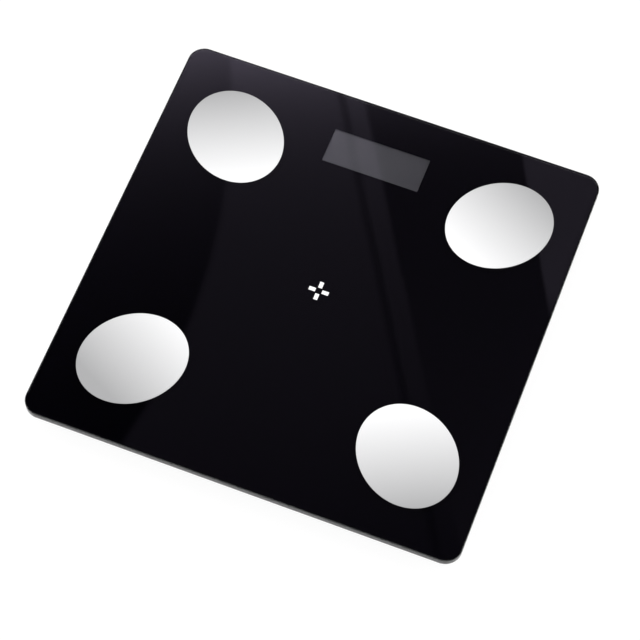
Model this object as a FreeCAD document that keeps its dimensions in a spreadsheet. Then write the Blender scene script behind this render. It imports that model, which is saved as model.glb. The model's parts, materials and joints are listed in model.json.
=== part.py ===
import FreeCAD, Part
import math
import os
import re
import Sketcher
from FreeCAD import Placement, Rotation, Vector

# A square glass bathroom scale with four foot electrodes, in millimetres.
# The origin is on the floor under the middle of the glass. +Z is up, +Y points to the
# display (the toe side), -Y to the heels and +X to the right.

DIMENSIONS = {
    # Glass platform and the layers under it
    "glass_side": 260.0,
    "glass_corner": 10.0,
    "glass_thickness": 5.0,
    "glass_edge": 1.0,
    "glass_under_edge": 0.2,
    "glass_bottom": 18.0,
    "print_inset": 0.2,
    "print_thickness": 0.2,
    "tape_thickness": 0.5,
    "tape_side": 238.0,
    "tape_width": 7.0,
    "tape_corner": 11.0,
    "tape_inner_corner": 6.0,
    "window_width": 60.0,
    "window_depth": 23.0,
    "window_y": 95.2,
    "mark_bar": 2.4,
    "mark_reach": 6.0,
    "mark_gap": 2.0,
    "mark_thickness": 0.05,
    # Electrodes
    "electrode_x": 82.8,
    "electrode_y": 78.4,
    "electrode_long": 32.5,
    "electrode_short": 27.7,
    "electrode_thickness": 0.3,
    "electrode_edge": 0.14,
    "stud_radius": 1.5,
    "stud_hole": 1.8,
    "stud_bottom": 15.4,
    "nut_across": 5.5,
    "nut_thickness": 1.6,
    "lug_thickness": 0.4,
    "lug_radius": 2.7,
    # Base tray
    "tray_bottom": 4.0,
    "tray_floor": 2.0,
    "tray_wall": 2.2,
    "tray_side": 220.0,
    "tray_corner": 14.0,
    "tray_draft": 14.87,
    "flange_side": 240.0,
    "flange_corner": 12.0,
    "flange_thickness": 2.0,
    "tray_edge": 2.5,
    "rib_thickness": 1.5,
    "rib_top": 14.0,
    "side_rib_x": 82.0,
    "side_rib_length": 50.0,
    "side_rib_first": -30.0,
    "side_rib_pitch": 24.0,
    "heel_rib_y": -54.0,
    "heel_rib_length": 106.0,
    "heel_rib_pitch": 26.0,
    "guide_width": 1.2,
    "guide_length": 4.0,
    "guide_top": 9.0,
    "guide_first_y": -24.0,
    "guide_pitch": 28.0,
    "guide_inner_x": 40.5,
    "guide_middle_x": 47.5,
    "guide_outer_x": 53.5,
    "label_width": 70.0,
    "label_depth": 34.0,
    "label_y": -52.0,
    "label_recess": 0.3,
    "label_corner": 3.0,
    # Feet and load cells
    "foot_offset": 83.0,
    "well_radius": 22.2,
    "well_wall": 1.8,
    "well_lip_radius": 21.2,
    "well_lip_top": 4.8,
    "well_top": 10.4,
    "well_relief_radius": 12.0,
    "well_relief": 1.2,
    "well_ceiling": 1.6,
    "lead_slot_width": 5.0,
    "lead_slot_drop": 0.3,
    "foot_radius": 20.8,
    "foot_flange_radius": 21.8,
    "foot_flange_bottom": 5.7,
    "foot_flange_top": 6.5,
    "foot_bottom": 1.2,
    "foot_web_top": 3.8,
    "foot_post_radius": 5.0,
    "foot_wall": 1.5,
    "foot_chamfer": 0.8,
    "foot_pad_gap": 0.1,
    "foot_rib_thickness": 1.2,
    "pad_radius": 17.0,
    "pad_thickness": 2.0,
    "pad_groove": 0.4,
    "groove_inner": 6.0,
    "groove_outer": 11.0,
    "groove_width": 1.4,
    "groove_draft": 0.2,
    "pad_chamfer": 0.6,
    "cell_side": 34.0,
    "cell_corner": 6.0,
    "cell_bottom": 8.0,
    "cell_thickness": 2.4,
    "cell_tongue": 12.0,
    "cell_slot": 1.6,
    "cell_bridge": 5.0,
    "cell_root": 8.0,
    "gauge_width": 9.0,
    "gauge_depth": 6.0,
    "gauge_thickness": 0.7,
    "gauge_y": 5.0,
    "gauge_corner": 1.0,
    "retainer_radius": 22.1,
    "retainer_thickness": 1.1,
    "retainer_opening": 26.0,
    "retainer_corner": 4.0,
    # Battery bay, battery door and cells
    "bay_y": 21.0,
    "bay_length": 52.0,
    "bay_depth": 33.4,
    "bay_top": 16.3,
    "bay_block_length": 61.8,
    "bay_block_front": -2.8,
    "bay_block_back": 44.4,
    "door_thickness": 1.4,
    "door_length": 58.0,
    "door_back": 41.0,
    "door_gap": 0.3,
    "door_front": 2.3,
    "seat_front": 2.0,
    "seat_gap": 0.05,
    "seat_corner": 0.6,
    "hinge_y": 3.0,
    "hinge_round": 0.69,
    "hook_x": 16.0,
    "hook_width": 6.0,
    "hook_reach": 2.5,
    "hook_bottom": 6.3,
    "hook_top": 7.4,
    "hook_root": 2.0,
    "hook_side_gap": 0.6,
    "hook_end_gap": 1.7,
    "hook_top_gap": 1.6,
    "hook_room_back": 5.5,
    "latch_width": 14.0,
    "latch_leg": 1.1,
    "latch_top": 10.0,
    "latch_back": 42.3,
    "latch_gap_depth": 1.5,
    "latch_side_gap": 0.6,
    "latch_notch_gap": 0.4,
    "latch_chamfer": 0.4,
    "latch_pocket_back": 42.8,
    "latch_pocket_top": 11.5,
    "scoop_radius": 9.0,
    "scoop_recess": 1.1,
    "ridge_length": 14.0,
    "ridge_width": 0.9,
    "ridge_pitch": 2.4,
    "ridge_height": 0.25,
    "ridge_inset": 8.0,
    "battery_radius": 5.25,
    "battery_can": 43.7,
    "battery_nub": 0.8,
    "battery_nub_radius": 1.9,
    "battery_dish": 0.3,
    "battery_dish_radius": 3.85,
    "battery_rim": 0.4,
    "battery_pitch": 11.1,
    "battery_z": 10.95,
    "contact_thickness": 0.4,
    "contact_side": 8.4,
    "contact_dimple": 0.6,
    "dimple_flare": 0.6,
    "bridge_width": 3.0,
    "contact_tail": 7.6,
    "contact_tail_width": 2.4,
    "tail_slot_gap": 0.3,
    "tail_slot_height": 1.2,
    "spring_radius": 3.5,
    "spring_wire": 0.25,
    "spring_pitch": 1.4,
    "spring_cone": -9.0,
    # Circuit board and display
    "board_width": 96.0,
    "board_front": 60.0,
    "board_back": 108.8,
    "board_bottom": 10.6,
    "board_thickness": 1.2,
    "board_corner": 2.0,
    "board_hole": 1.3,
    "boss_radius": 3.0,
    "boss_x": 44.0,
    "boss_front": 68.5,
    "boss_back": 104.5,
    "screw_radius": 0.95,
    "screw_head": 2.1,
    "screw_head_height": 1.4,
    "screw_length": 4.0,
    "screw_point": 1.0,
    "screw_chamfer": 0.4,
    "recess_radius": 0.7,
    "recess_depth": 0.8,
    "pilot_radius": 1.0,
    "pilot_depth": 4.4,
    "frame_width": 66.0,
    "frame_depth": 28.4,
    "frame_wall": 1.6,
    "panel_thickness": 2.6,
    "strip_thickness": 1.8,
    "panel_top": 17.1,
    # Unit button and its switch
    "button_x": 33.0,
    "button_y": 76.0,
    "button_radius": 4.4,
    "button_hole": 4.7,
    "button_dish": 6.9,
    "button_flange": 6.0,
    "switch_side": 6.0,
    "switch_bottom": 7.6,
    "plunger_radius": 1.7,
    "plunger_bottom": 7.0,
    "module_x": -24.0,
    "module_y": 73.0,
    "module_width": 17.0,
    "module_depth": 11.0,
    "module_board": 0.8,
    "can_x": -26.5,
    "can_width": 11.0,
    "can_depth": 10.0,
    "can_height": 1.6,
    "can_corner": 0.8,
    "capacitor_x": 33.0,
    "capacitor_y": 75.0,
    "capacitor_radius": 2.4,
    "capacitor_height": 4.4,
    "capacitor_neck": 0.2,
    # Leads
    "strand_radius": 0.5,
    "strand_pitch": 1.15,
    "socket_depth": 5.0,
    "socket_height": 4.6,
    "socket_gap": 1.0,
    "socket_inset": 0.6,
    "entry_height": 2.0,
    "mouth_height": 1.6,
    "mouth_depth": 2.4,
}

CORNERS = {
    "toe_left": (-1, 1),
    "toe_right": (1, 1),
    "heel_left": (-1, -1),
    "heel_right": (1, -1),
}

document = FreeCAD.newDocument("BathroomScale")
sheet = document.addObject("Spreadsheet::Sheet", "Dimensions")
nodes = []


def fill_sheet():
    for row, (name, size) in enumerate(DIMENSIONS.items(), start=1):
        sheet.set(f"A{row}", name)
        sheet.set(f"B{row}", str(size))
        sheet.setAlias(f"B{row}", name)
    document.recompute()


# ---- Expressions, sketches and features ------------------------------------------------


def expression(text):
    """Write each bare dimension name in text as a reference to the sheet."""

    def reference(match):
        word = match.group()
        return f"Dimensions.{word}" if word in DIMENSIONS else word

    return re.sub(r"[a-z][a-z_0-9]*", reference, str(text))


def value(text):
    return float(sheet.evalExpression(expression(text)))


def bind(thing, **properties):
    """Bind properties to expressions; a double underscore in a name is a dot."""
    for name, text in properties.items():
        thing.setExpression(name.replace("__", "."), expression(text))


def new_body(label):
    body = document.addObject("PartDesign::Body", label)
    body.Label = label
    return body


def keep(thing):
    """Note that a finished sub-part is to be written out under its label."""
    nodes.append(thing)
    return thing


def sketch(body, name, offset=0, plane="XY_Plane"):
    drawing = body.newObject("Sketcher::SketchObject", name)
    support = next(item for item in body.Origin.OriginFeatures if item.Role == plane)
    drawing.AttachmentSupport = [(support, "")]
    drawing.MapMode = "FlatFace"
    bind(drawing, AttachmentOffset__Base__z=offset)
    return drawing


def fix(drawing, kind, places, text):
    index = drawing.addConstraint(Sketcher.Constraint(kind, *places, value(text)))
    drawing.setExpression(f"Constraints[{index}]", expression(text))


def polygon(drawing, points):
    """Draw a closed outline of straight lines through pairs of expressions."""
    corners = [Vector(value(x), value(y), 0) for x, y in points]
    following = corners[1:] + corners[:1]
    edges = [Part.LineSegment(start, end) for start, end in zip(corners, following)]
    lines = list(drawing.addGeometry(edges, False))
    for line, after in zip(lines, lines[1:] + lines[:1]):
        drawing.addConstraint(Sketcher.Constraint("Coincident", line, 2, after, 1))
    for line, (x, y) in zip(lines, points):
        fix(drawing, "DistanceX", (line, 1), x)
        fix(drawing, "DistanceY", (line, 1), y)


def rectangle(drawing, x, y, width, depth):
    """Draw a sharp-cornered rectangle about the middle point x, y."""
    left, right = f"({x}) - ({width}) / 2", f"({x}) + ({width}) / 2"
    low, high = f"({y}) - ({depth}) / 2", f"({y}) + ({depth}) / 2"
    polygon(drawing, [(left, low), (right, low), (right, high), (left, high)])


def rounded_rectangle(drawing, x, y, width, depth, radius):
    """Draw a rectangle with round corners about the middle point x, y."""
    half_width, half_depth, round_ = value(width) / 2, value(depth) / 2, value(radius)
    middle = Vector(value(x), value(y), 0)
    lines = []
    arcs = []
    for quarter in range(4):
        turn = Rotation(Vector(0, 0, 1), 90 * quarter)
        along, across = (half_width, half_depth) if quarter % 2 == 0 else (half_depth, half_width)
        start = middle + turn.multVec(Vector(round_ - along, -across, 0))
        end = middle + turn.multVec(Vector(along - round_, -across, 0))
        pivot = middle + turn.multVec(Vector(along - round_, round_ - across, 0))
        first = math.radians(90 * quarter - 90)
        circle_ = Part.Circle(pivot, Vector(0, 0, 1), round_)
        lines.append(drawing.addGeometry(Part.LineSegment(start, end), False))
        arcs.append(drawing.addGeometry(Part.ArcOfCircle(circle_, first, first + math.pi / 2), False))
    for quarter in range(4):
        after = lines[(quarter + 1) % 4]
        drawing.addConstraint(Sketcher.Constraint("Tangent", lines[quarter], 2, arcs[quarter], 1))
        drawing.addConstraint(Sketcher.Constraint("Tangent", arcs[quarter], 2, after, 1))
        direction = "Horizontal" if quarter % 2 == 0 else "Vertical"
        drawing.addConstraint(Sketcher.Constraint(direction, lines[quarter]))
        if quarter:
            drawing.addConstraint(Sketcher.Constraint("Equal", arcs[0], arcs[quarter]))
    fix(drawing, "Radius", (arcs[0],), radius)
    fix(drawing, "DistanceX", (lines[3], 1, lines[1], 1), width)
    fix(drawing, "DistanceY", (lines[0], 1, lines[2], 1), depth)
    fix(drawing, "DistanceX", (lines[3], 1), f"({x}) - ({width}) / 2")
    fix(drawing, "DistanceY", (lines[0], 1), f"({y}) - ({depth}) / 2")


def circle(drawing, x, y, radius):
    middle = Vector(value(x), value(y), 0)
    ring = drawing.addGeometry(Part.Circle(middle, Vector(0, 0, 1), value(radius)), False)
    fix(drawing, "DistanceX", (ring, 3), x)
    fix(drawing, "DistanceY", (ring, 3), y)
    fix(drawing, "Radius", (ring,), radius)


def pad(body, name, drawing, length, taper=0, midplane=False):
    """Add material upwards from a drawing, or to both sides of it."""
    solid = body.newObject("PartDesign::Pad", name)
    solid.Profile = drawing
    solid.Midplane = midplane
    bind(solid, Length=length, TaperAngle=taper)
    return solid


def pocket(body, name, drawing, length, taper=0, midplane=False):
    """Cut upwards from a drawing, or to both sides of it."""
    cut = body.newObject("PartDesign::Pocket", name)
    cut.Profile = drawing
    cut.Reversed = not midplane
    cut.Midplane = midplane
    bind(cut, Length=length, TaperAngle=taper)
    return cut


def revolve(body, name, drawing):
    """Turn a drawing of radius and height pairs about the body's own Z axis."""
    turned = body.newObject("PartDesign::Revolution", name)
    turned.Profile = drawing
    turned.ReferenceAxis = (drawing, ["V_Axis"])
    turned.Angle = 360
    return turned


def turned_body(label, points):
    """Make a round sub-part from its half outline of radius and height pairs."""
    body = new_body(label)
    drawing = sketch(body, "Profile", plane="XZ_Plane")
    polygon(drawing, points)
    revolve(body, "Turned", drawing)
    return body


def edges_where(feature, test):
    return [f"Edge{index}" for index, edge in enumerate(feature.Shape.Edges, start=1) if test(edge)]


def fillet(body, name, feature, test, radius):
    """Round the edges of a feature that pass a test."""
    document.recompute()
    rounded = body.newObject("PartDesign::Fillet", name)
    rounded.Base = (feature, edges_where(feature, test))
    bind(rounded, Radius=radius)
    return rounded


def at_height(text):
    """Give a test for edges that lie wholly at one height."""
    height = value(text)
    return lambda edge: max(abs(edge.BoundBox.ZMin - height), abs(edge.BoundBox.ZMax - height)) < 1e-4


def place(thing, x="0", y="0", z="0", turn=0, axis=Vector(0, 0, 1)):
    """Set a sub-part's placement, with its position bound to the sheet."""
    thing.Placement = Placement(Vector(0, 0, 0), Rotation(axis, turn))
    bind(thing, Placement__Base__x=x, Placement__Base__y=y, Placement__Base__z=z)
    return thing


def group(label, parts):
    """Join identical pieces in one node, each still a solid of its own."""
    joined = document.addObject("Part::Compound", label)
    joined.Label = label
    joined.Links = parts
    return keep(joined)


def block(label, x, y, z, width, depth, height):
    """Make a box about the middle point x, y that stands on height z."""
    box = document.addObject("Part::Box", label)
    box.Label = label
    bind(box, Length=width, Width=depth, Height=height)
    return place(box, f"({x}) - ({width}) / 2", f"({y}) - ({depth}) / 2", z)


def corner_places(x, y):
    """Give each corner's name with the signed expressions of its place."""
    return [(name, f"{across} * ({x})", f"{along} * ({y})") for name, (across, along) in CORNERS.items()]


def inward_turn(corner):
    """Give the turn about Z that points a corner piece's own +Y at the middle of the scale."""
    across, along = CORNERS[corner]
    return math.degrees(math.atan2(across, -along))


# ---- Platform ---------------------------------------------------------------------------


def glass_platform():
    body = new_body("glass_platform")
    outline = sketch(body, "Outline", "glass_bottom")
    rounded_rectangle(outline, "0", "0", "glass_side", "glass_side", "glass_corner")
    sheet_of_glass = pad(body, "Sheet", outline, "glass_thickness")

    top_rim = at_height("glass_bottom + glass_thickness")
    rounded = fillet(body, "PolishedEdge", sheet_of_glass, top_rim, "glass_edge")
    fillet(body, "UnderEdge", rounded, at_height("glass_bottom"), "glass_under_edge")
    holes = sketch(body, "StudHoles", "glass_bottom")
    for _, x, y in corner_places("electrode_x", "electrode_y"):
        circle(holes, x, y, "stud_hole")
    pocket(body, "StudHolesCut", holes, "glass_thickness")
    return keep(body)


def back_print():
    body = new_body("back_print")
    bottom = "glass_bottom - print_thickness"
    side = "glass_side - 2 * print_inset"
    outline = sketch(body, "Outline", bottom)
    rounded_rectangle(outline, "0", "0", side, side, "glass_corner - print_inset")
    pad(body, "Layer", outline, "print_thickness")
    openings = sketch(body, "Openings", bottom)
    rectangle(openings, "0", "window_y", "window_width", "window_depth")
    for _, x, y in corner_places("electrode_x", "electrode_y"):
        circle(openings, x, y, "stud_hole")
    pocket(body, "OpeningsCut", openings, "print_thickness")
    return keep(body)


def adhesive_tape():
    body = new_body("adhesive_tape")
    ring = sketch(body, "Ring", "glass_bottom - print_thickness - tape_thickness")
    rounded_rectangle(ring, "0", "0", "tape_side", "tape_side", "tape_corner")
    inner = "tape_side - 2 * tape_width"
    rounded_rectangle(ring, "0", "0", inner, inner, "tape_inner_corner")
    pad(body, "Tape", ring, "tape_thickness")
    return keep(body)


def centre_mark():
    """Make four short bars that point at an open middle."""
    body = new_body("centre_mark")
    bars = sketch(body, "Bars", "glass_bottom + glass_thickness")
    length = "mark_reach - mark_gap"
    middle = "(mark_reach + mark_gap) / 2"
    for sign in (-1, 1):
        rectangle(bars, f"{sign} * {middle}", "0", length, "mark_bar")
        rectangle(bars, "0", f"{sign} * {middle}", "mark_bar", length)
    pad(body, "PrintedBars", bars, "mark_thickness")
    return keep(body)


def electrode(corner, x, y):
    """Make an oval pad with the stud that carries its signal through the glass."""
    outline = document.addObject("Part::Ellipse", f"Oval_{corner}")
    bind(outline, MajorRadius="electrode_long", MinorRadius="electrode_short")
    plate = document.addObject("Part::Extrusion", f"Plate_{corner}")
    plate.Base = outline
    plate.DirMode = "Normal"
    plate.Solid = True
    bind(plate, LengthFwd="electrode_thickness")
    document.recompute()
    rounded = document.addObject("Part::Fillet", f"RoundedPlate_{corner}")
    rounded.Base = plate
    radius = value("electrode_edge")
    top = [
        (index, radius, radius)
        for index, edge in enumerate(plate.Shape.Edges, start=1)
        if edge.BoundBox.ZMin > value("electrode_thickness") / 2
    ]
    rounded.Edges = top
    stud = document.addObject("Part::Cylinder", f"Stud_{corner}")
    bind(stud, Radius="stud_radius", Height="glass_bottom + glass_thickness - stud_bottom")
    place(stud, z="stud_bottom - glass_bottom - glass_thickness")
    whole = document.addObject("Part::Fuse", f"electrode_{corner}")
    whole.Label = f"electrode_{corner}"
    whole.Base = rounded
    whole.Tool = stud
    across, along = CORNERS[corner]
    long_axis = math.degrees(math.atan2(along * value("electrode_y"), across * value("electrode_x")))
    place(whole, x, y, "glass_bottom + glass_thickness", turn=long_axis)
    return keep(whole)


def electrode_nut(corner, x, y):
    body = new_body(f"Nut_{corner}")
    outline = sketch(body, "Outline")
    flats = value("nut_across") / 2
    reach = flats / math.cos(math.radians(30))
    corners = [Vector(reach, 0, 0)]
    for step in range(1, 6):
        corners.append(Rotation(Vector(0, 0, 1), 60 * step).multVec(corners[0]))
    polygon(outline, [(point.x, point.y) for point in corners])
    circle(outline, "0", "0", "stud_radius + 0.02")
    pad(body, "Nut", outline, "nut_thickness")
    return place(body, x, y, "glass_bottom - print_thickness - lug_thickness - nut_thickness")


# ---- Base tray --------------------------------------------------------------------------


def tray_shell(body):
    """Make the drafted bowl and the flange that the glass is taped to."""
    flange_bottom = "glass_bottom - print_thickness - tape_thickness - flange_thickness"
    wall_height = f"{flange_bottom} - tray_bottom"
    bowl = sketch(body, "BowlOutline", "tray_bottom")
    rounded_rectangle(bowl, "0", "0", "tray_side", "tray_side", "tray_corner")
    outside = pad(body, "Bowl", bowl, wall_height, taper="tray_draft")
    fillet(body, "BowlEdge", outside, at_height("tray_bottom"), "tray_edge")
    flange = sketch(body, "FlangeOutline", flange_bottom)
    rounded_rectangle(flange, "0", "0", "flange_side", "flange_side", "flange_corner")
    pad(body, "Flange", flange, "flange_thickness")
    inside = sketch(body, "InsideOutline", "tray_bottom + tray_floor")
    inner_side = "tray_side - 2 * tray_wall + tray_floor / 2"
    rounded_rectangle(inside, "0", "0", inner_side, inner_side, "tray_corner - tray_wall")
    inner_height = f"{flange_bottom} + flange_thickness - tray_bottom - tray_floor"
    pocket(body, "Inside", inside, inner_height, taper="tray_draft")


def tray_wells(body):
    """Make the four drums in which the feet and load cells sit."""
    wells = {
        "WellDrums": ("tray_bottom + tray_floor / 2", "well_radius + well_wall",
                      "well_top + well_relief + well_ceiling - tray_bottom - tray_floor / 2", pad),
        "WellLips": ("tray_bottom", "well_lip_radius", "well_lip_top - tray_bottom", pocket),
        "WellBores": ("well_lip_top", "well_radius", "well_top - well_lip_top", pocket),
        "WellReliefs": ("well_top", "well_relief_radius", "well_relief", pocket),
    }
    for name, (height, radius, length, make) in wells.items():
        rings = sketch(body, f"{name}Outline", height)
        for _, x, y in corner_places("foot_offset", "foot_offset"):
            circle(rings, x, y, radius)
        make(body, name, rings, length)
    slots = sketch(body, "LeadSlotsOutline", "well_top - lead_slot_drop")
    for corner, (across, along) in CORNERS.items():
        ends = [("well_relief_radius - 2", -1), ("well_relief_radius - 2", 1),
                ("well_radius + well_wall + 2", 1), ("well_radius + well_wall + 2", -1)]
        points = []
        for distance, side in ends:
            x = f"{across} * (foot_offset - (({distance}) + {side} * lead_slot_width / 2) * 0.70711)"
            y = f"{along} * (foot_offset - (({distance}) - {side} * lead_slot_width / 2) * 0.70711)"
            points.append((x, y))
        polygon(slots, points)
    pocket(body, "LeadSlots", slots, "well_relief + lead_slot_drop")


def tray_ribs(body):
    """Make the stiffening ribs and the posts that guide the leads."""
    floor_inside = "tray_bottom + tray_floor / 2"
    ribs = sketch(body, "RibsOutline", floor_inside)
    for sign in (-1, 1):
        for step in range(4):
            y = f"side_rib_first + {step} * side_rib_pitch"
            rectangle(ribs, f"{sign} * side_rib_x", y, "side_rib_length", "rib_thickness")
    for step in (-1, 0, 1):
        rectangle(ribs, f"{step} * heel_rib_pitch", "heel_rib_y", "rib_thickness", "heel_rib_length")
    pad(body, "Ribs", ribs, f"rib_top - ({floor_inside})")
    guides = sketch(body, "GuidesOutline", floor_inside)
    for sign in (-1, 1):
        for step in range(3):
            for x in ("guide_inner_x", "guide_middle_x", "guide_outer_x"):
                y = f"guide_first_y + {step} * guide_pitch"
                rectangle(guides, f"{sign} * {x}", y, "guide_width", "guide_length")
    pad(body, "Guides", guides, f"guide_top - ({floor_inside})")


def tray_bosses(body):
    """Make the posts that the circuit board is screwed to, and the button's hole."""
    bosses = sketch(body, "BossesOutline", "tray_bottom + tray_floor / 2")
    pilots = sketch(body, "PilotsOutline", "board_bottom - pilot_depth")
    for sign in (-1, 1):
        for y in ("boss_front", "boss_back"):
            circle(bosses, f"{sign} * boss_x", y, "boss_radius")
            circle(pilots, f"{sign} * boss_x", y, "pilot_radius")
    pad(body, "Bosses", bosses, "board_bottom - tray_bottom - tray_floor / 2")
    pocket(body, "Pilots", pilots, "pilot_depth")
    hole = sketch(body, "ButtonHoleOutline", "tray_bottom")
    circle(hole, "button_x", "button_y", "button_hole")
    pocket(body, "ButtonHole", hole, "tray_floor")
    dish = sketch(body, "ButtonDishOutline", "tray_bottom")
    circle(dish, "button_x", "button_y", "button_dish")
    pocket(body, "ButtonDish", dish, "label_recess")


def tray_bay(body):
    """Make the battery bay, which opens downwards under the door."""
    floor_inside = "tray_bottom + tray_floor / 2"
    flange_top = "glass_bottom - print_thickness - tape_thickness"
    outer = sketch(body, "BayBlockOutline", floor_inside)
    bay_middle = "(bay_block_front + bay_block_back) / 2"
    rectangle(outer, "0", bay_middle, "bay_block_length", "bay_block_back - bay_block_front")
    pad(body, "BayBlock", outer, f"{flange_top} - ({floor_inside})")
    inner = sketch(body, "BayOutline", "tray_bottom")
    rectangle(inner, "0", "bay_y", "bay_length", "bay_depth")
    pocket(body, "Bay", inner, "bay_top - tray_bottom")
    seat = sketch(body, "DoorSeatOutline", "tray_bottom")
    front = "seat_front"
    back = "door_back + door_gap + 0.1"
    rounded_rectangle(seat, "0", f"({front} + {back}) / 2", "door_length + 2 * door_gap",
                      f"{back} - ({front})", "seat_corner")
    pocket(body, "DoorSeat", seat, "door_thickness + seat_gap")
    latch = sketch(body, "LatchPocketOutline", "tray_bottom")
    latch_front = "bay_y + bay_depth / 2 - 0.5"
    rectangle(latch, "0", f"({latch_front} + latch_pocket_back) / 2", "latch_width + 2 * latch_side_gap",
              f"latch_pocket_back - ({latch_front})")
    pocket(body, "LatchPocket", latch, "latch_pocket_top - tray_bottom")
    scoop = sketch(body, "ScoopOutline", "tray_bottom")
    circle(scoop, "0", "latch_pocket_back - 1", "scoop_radius")
    pocket(body, "Scoop", scoop, "scoop_recess")
    seat_top = "tray_bottom + door_thickness + seat_gap"
    room_front = "hinge_y - hook_reach - hook_end_gap"
    for side, sign in (("Left", -1), ("Right", 1)):
        notch = sketch(body, f"HookRoom{side}Outline", f"{sign} * hook_x", plane="YZ_Plane")
        polygon(notch, [
            (front, seat_top),
            ("hook_room_back", seat_top),
            ("hook_room_back", "hook_top + hook_top_gap"),
            (room_front, "hook_top + hook_top_gap"),
            (room_front, "tray_bottom + tray_floor"),
            (front, "tray_bottom + tray_floor"),
        ])
        pocket(body, f"HookRoom{side}", notch, "hook_width + 2 * hook_side_gap", midplane=True)
    tails = (("PositiveTail", -1, "bay_y - battery_pitch"), ("NegativeTail", 1, "bay_y + battery_pitch"))
    for name, sign, y in tails:
        slot = sketch(body, f"{name}Outline", "battery_z - tail_slot_height / 2")
        reach = "bay_block_length / 2 - bay_length / 2 + 1"
        x = f"{sign} * (bay_length / 2 + ({reach}) / 2 - 0.5)"
        rectangle(slot, x, y, reach, "contact_tail_width + 2 * tail_slot_gap")
        pocket(body, name, slot, "tail_slot_height")


def base_tray():
    body = new_body("base_tray")
    tray_shell(body)
    tray_ribs(body)
    tray_wells(body)
    tray_bosses(body)
    tray_bay(body)
    recess = sketch(body, "LabelRecessOutline", "tray_bottom")
    rounded_rectangle(recess, "0", "label_y", "label_width", "label_depth", "label_corner")
    pocket(body, "LabelRecess", recess, "label_recess")
    return keep(body)


# ---- Feet and load cells ----------------------------------------------------------------


def foot_cup(corner, x, y):
    """Make the cup that slides in its well and presses on the load cell's tongue."""
    body = turned_body(f"foot_cup_{corner}", [
        ("0", "pad_thickness"),
        ("pad_radius + foot_pad_gap", "pad_thickness"),
        ("pad_radius + foot_pad_gap", "foot_bottom"),
        ("foot_radius - foot_chamfer", "foot_bottom"),
        ("foot_radius", "foot_bottom + foot_chamfer"),
        ("foot_radius", "foot_flange_bottom"),
        ("foot_flange_radius", "foot_flange_bottom"),
        ("foot_flange_radius", "foot_flange_top"),
        ("foot_radius - foot_wall", "foot_flange_top"),
        ("foot_radius - foot_wall", "foot_web_top"),
        ("foot_post_radius", "foot_web_top"),
        ("foot_post_radius", "cell_bottom - foot_chamfer"),
        ("foot_post_radius - foot_chamfer", "cell_bottom"),
        ("0", "cell_bottom"),
    ])
    rib_outline = sketch(body, "RibOutline", "foot_web_top - 0.2")
    reach = "foot_radius - 1 - (foot_post_radius - 0.5)"
    rectangle(rib_outline, f"foot_post_radius - 0.5 + ({reach}) / 2", "0", reach, "foot_rib_thickness")
    rib = pad(body, "Rib", rib_outline, "foot_flange_top - foot_web_top - 0.4")
    document.recompute()
    ribs = body.newObject("PartDesign::PolarPattern", "Ribs")
    ribs.Originals = [rib]
    ribs.Axis = (rib_outline, ["N_Axis"])
    ribs.Angle = 360
    ribs.Occurrences = 6
    body.Tip = ribs
    return keep(place(body, x, y))


def foot_pad(corner, x, y):
    """Make the rubber disc under a foot, with two anti-slip grooves."""
    outline = [("0", "0")]
    for start in ("groove_inner", "groove_outer"):
        outline += [
            (start, "0"),
            (f"{start} + groove_draft", "pad_groove"),
            (f"{start} + groove_width - groove_draft", "pad_groove"),
            (f"{start} + groove_width", "0"),
        ]
    outline += [
        ("pad_radius - pad_chamfer", "0"),
        ("pad_radius", "pad_chamfer"),
        ("pad_radius", "pad_thickness"),
        ("0", "pad_thickness"),
    ]
    body = turned_body(f"foot_pad_{corner}", outline)
    return keep(place(body, x, y))


def load_cell(corner, x, y):
    """Make a half-bridge load cell: a steel plate with a U slot around its tongue."""
    body = new_body(f"load_cell_{corner}")
    outline = sketch(body, "Outline")
    rounded_rectangle(outline, "0", "0", "cell_side", "cell_side", "cell_corner")
    pad(body, "Plate", outline, "cell_thickness")
    slot = sketch(body, "Slot")
    half = "cell_tongue / 2"
    outer = "cell_tongue / 2 + cell_slot"
    end = "cell_bridge - cell_side / 2"
    root = "cell_side / 2 - cell_root"
    polygon(slot, [
        (f"-({outer})", root),
        (f"-({outer})", end),
        (outer, end),
        (outer, root),
        (half, root),
        (half, f"{end} + cell_slot"),
        (f"-({half})", f"{end} + cell_slot"),
        (f"-({half})", root),
    ])
    pocket(body, "SlotCut", slot, "cell_thickness")
    return keep(place(body, x, y, "cell_bottom", turn=inward_turn(corner)))


def strain_gauge(corner, x, y):
    """Make the sealed gauge patch at the root of a load cell's tongue."""
    body = new_body(f"Gauge_{corner}")
    outline = sketch(body, "Outline")
    rounded_rectangle(outline, "0", "gauge_y", "gauge_width", "gauge_depth", "gauge_corner")
    pad(body, "Patch", outline, "gauge_thickness")
    return place(body, x, y, "cell_bottom + cell_thickness", turn=inward_turn(corner))


def cell_retainer(corner, x, y):
    """Make the ring that snaps into the well and holds the load cell's rim up."""
    body = new_body(f"cell_retainer_{corner}")
    outline = sketch(body, "Outline")
    circle(outline, "0", "0", "retainer_radius")
    rounded_rectangle(outline, "0", "0", "retainer_opening", "retainer_opening", "retainer_corner")
    pad(body, "Ring", outline, "retainer_thickness")
    return keep(place(body, x, y, "cell_bottom - retainer_thickness", turn=inward_turn(corner)))


# ---- Battery door, cells and contacts ---------------------------------------------------


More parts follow.
